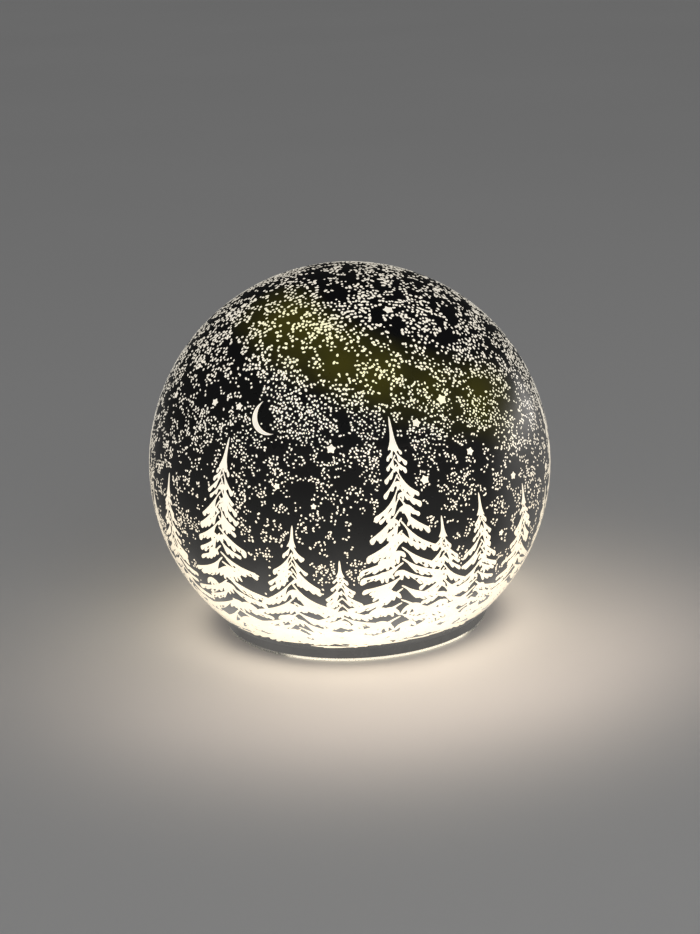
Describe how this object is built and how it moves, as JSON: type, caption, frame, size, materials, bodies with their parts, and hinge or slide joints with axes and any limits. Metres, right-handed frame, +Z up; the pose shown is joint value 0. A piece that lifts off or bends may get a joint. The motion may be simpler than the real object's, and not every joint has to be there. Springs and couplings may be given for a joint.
{
  "type": "snow globe",
  "caption": "Battery-lit glass ball on a short neck, dark coat etched with a winter forest and stars, lamp base inside the neck",
  "frame": {"origin": "on the table, under the centre of the ball", "axes": "+Z up through the ball, -Y towards the viewer, +X to the viewer's right"},
  "size_m": [0.15, 0.15, 0.1355],
  "materials": {
    "clear_glass": "clear, blown, ground rim",
    "night_lacquer": "satin black lacquer sprayed on glass, with a faint olive aurora",
    "frost": "matte white frosting",
    "etched_light": "laser-etched areas where the frosted, lit inside shows",
    "silicone": "matte translucent white",
    "black_abs": "fine moulded texture",
    "white_abs": "smooth moulded",
    "opal_plastic": "opal, light-scattering",
    "steel": "zinc plated",
    "circuit_board": "green solder mask",
    "led_lens": "cast epoxy, warm white",
    "chip_epoxy": "matte moulded epoxy",
    "plated_can": "tin plated",
    "capacitor_sleeve": "shrink sleeve",
    "phenolic": "phenolic board",
    "contact_nickel": "nickel plated",
    "battery_case": "plain printed sleeve, no marks",
    "red_wire": "PVC insulation",
    "black_wire": "PVC insulation",
    "foam": "open-cell foam"
  },
  "bodies": {
    "globe": {"glass_globe": "clear_glass", "night_lacquer": "night_lacquer", "frost_lining": "frost", "neck_seal": "silicone", "base_housing": "black_abs", "top_cover": "white_abs", "cover_screws": "steel", "feet": "silicone", "light_diffuser": "opal_plastic", "led_board": "circuit_board", "board_screws": "steel", "leds": "led_lens", "timer_chip": "chip_epoxy", "timer_crystal": "plated_can", "board_capacitor": "capacitor_sleeve", "board_resistors": "chip_epoxy", "switch_frame": "plated_can", "switch_base": "phenolic", "switch_terminals": "contact_nickel", "battery_1": "battery_case", "battery_2": "battery_case", "battery_3": "battery_case", "contact_springs": "contact_nickel", "end_contacts": "contact_nickel", "link_contacts": "contact_nickel", "lead_battery": "red_wire", "lead_switched": "red_wire", "lead_return": "black_wire"},
    "battery_door": {"battery_door": "black_abs", "door_pad": "foam"},
    "switch_slider": {"switch_slider": "black_abs"}
  },
  "joints": [
    {"name": "battery_door_hinge", "type": "hinge", "parent": "globe", "child": "battery_door", "pos_m": [-0.008, -0.02545, 0.00195], "axis": [-1, 0, 0], "range_deg": [0, 75]},
    {"name": "switch_slide", "type": "slide", "parent": "globe", "child": "switch_slider", "axis": [0, 1, 0], "range_m": [0, 0.004]}
  ]
}
